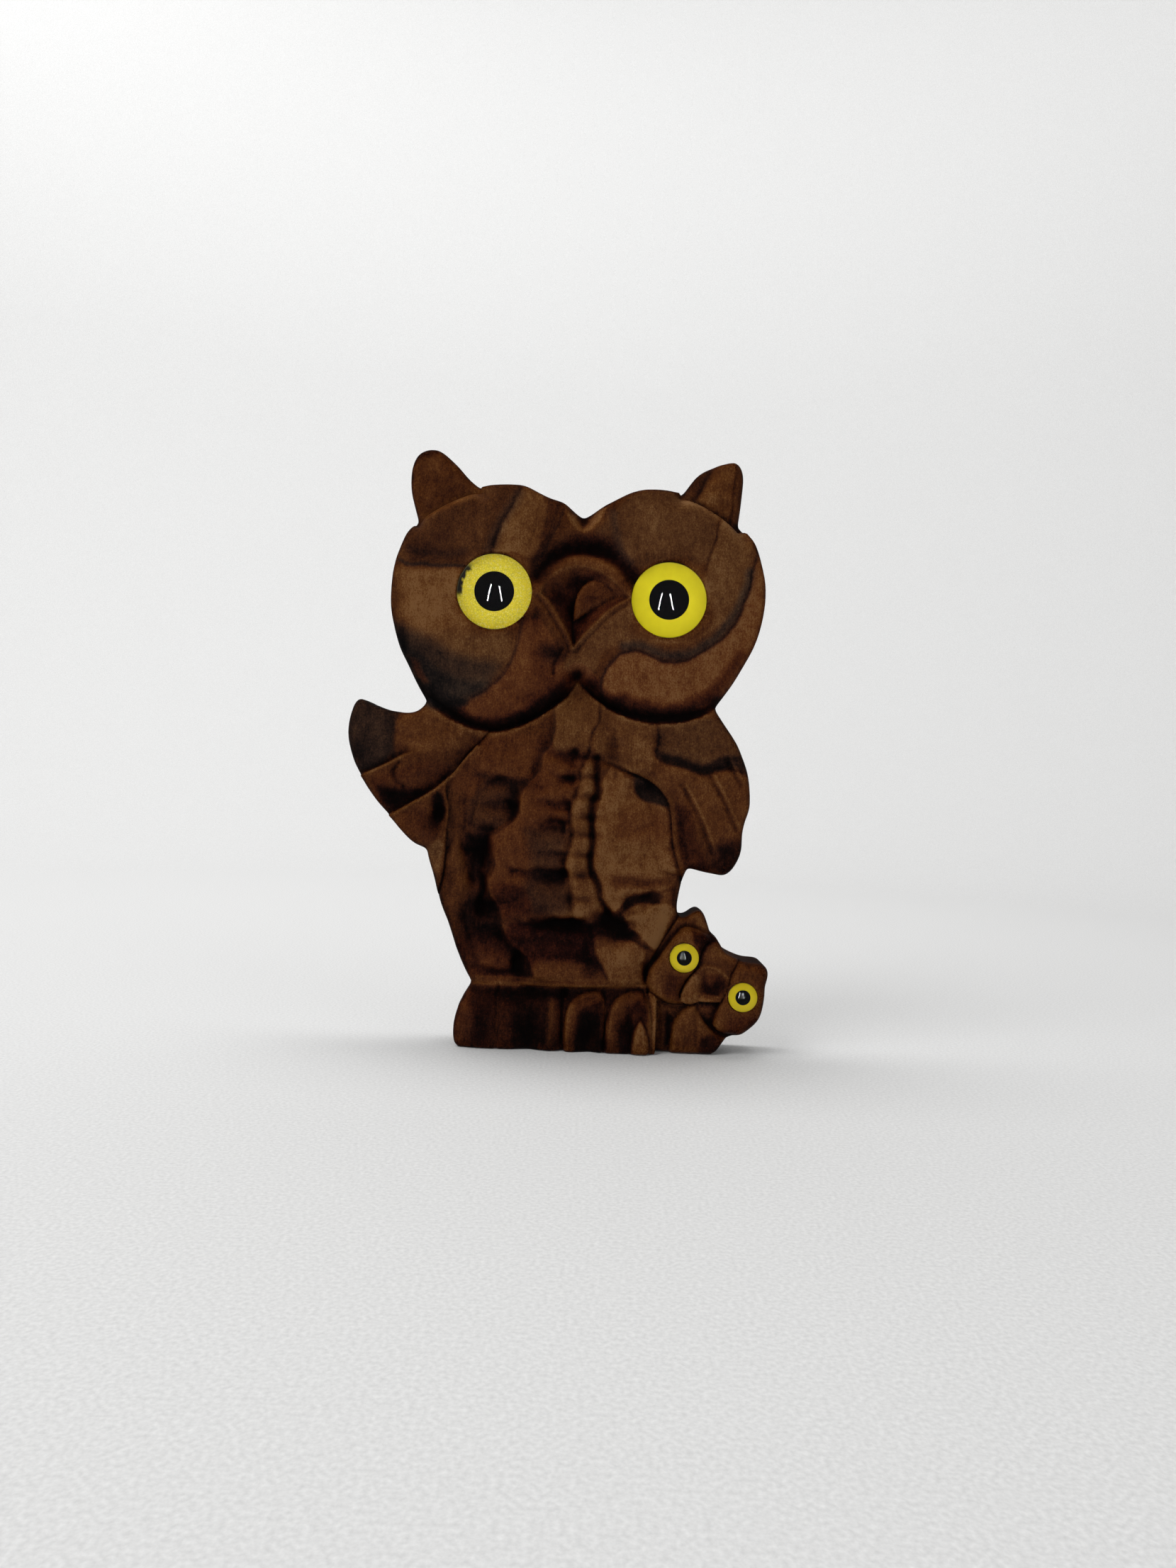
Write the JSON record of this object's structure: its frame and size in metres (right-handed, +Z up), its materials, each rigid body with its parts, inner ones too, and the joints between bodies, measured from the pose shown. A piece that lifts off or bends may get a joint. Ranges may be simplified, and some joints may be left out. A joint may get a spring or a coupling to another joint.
{
  "type": "carved wooden owl figurine",
  "caption": "Flat-backed relief carving of an owl with an owlet at its side, cut from dark figured wood, with inset yellow glass eyes and a sawn base.",
  "frame": {"origin": "middle of the sawn base on the floor, halfway through the thickness of the board", "axes": "+Z up toward the ears, -Y toward the viewer of the carved front, +X to the viewer's right (the owlet's side), +Y out of the flat back"},
  "size_m": [0.1045, 0.0193, 0.145],
  "materials": {
    "rosewood": "oiled satin, dark zone lines, nearly black in the recesses",
    "clear_glass": "polished dome",
    "pupil_paint": "black paint on the back of the glass",
    "iris_paint": "yellow paint on the back of the glass",
    "wire": "plain drawn wire",
    "glue": "dried glue"
  },
  "bodies": {
    "root": {"carving": "rosewood", "left_eye_glass": "clear_glass", "left_eye_pupil": "pupil_paint", "left_eye_iris": "iris_paint", "left_eye_wire": "wire", "left_eye_glue": "glue", "right_eye_glass": "clear_glass", "right_eye_pupil": "pupil_paint", "right_eye_iris": "iris_paint", "right_eye_wire": "wire", "right_eye_glue": "glue", "chick_left_eye_glass": "clear_glass", "chick_left_eye_pupil": "pupil_paint", "chick_left_eye_iris": "iris_paint", "chick_left_eye_wire": "wire", "chick_left_eye_glue": "glue", "chick_right_eye_glass": "clear_glass", "chick_right_eye_pupil": "pupil_paint", "chick_right_eye_iris": "iris_paint", "chick_right_eye_wire": "wire", "chick_right_eye_glue": "glue"}
  },
  "joints": []
}
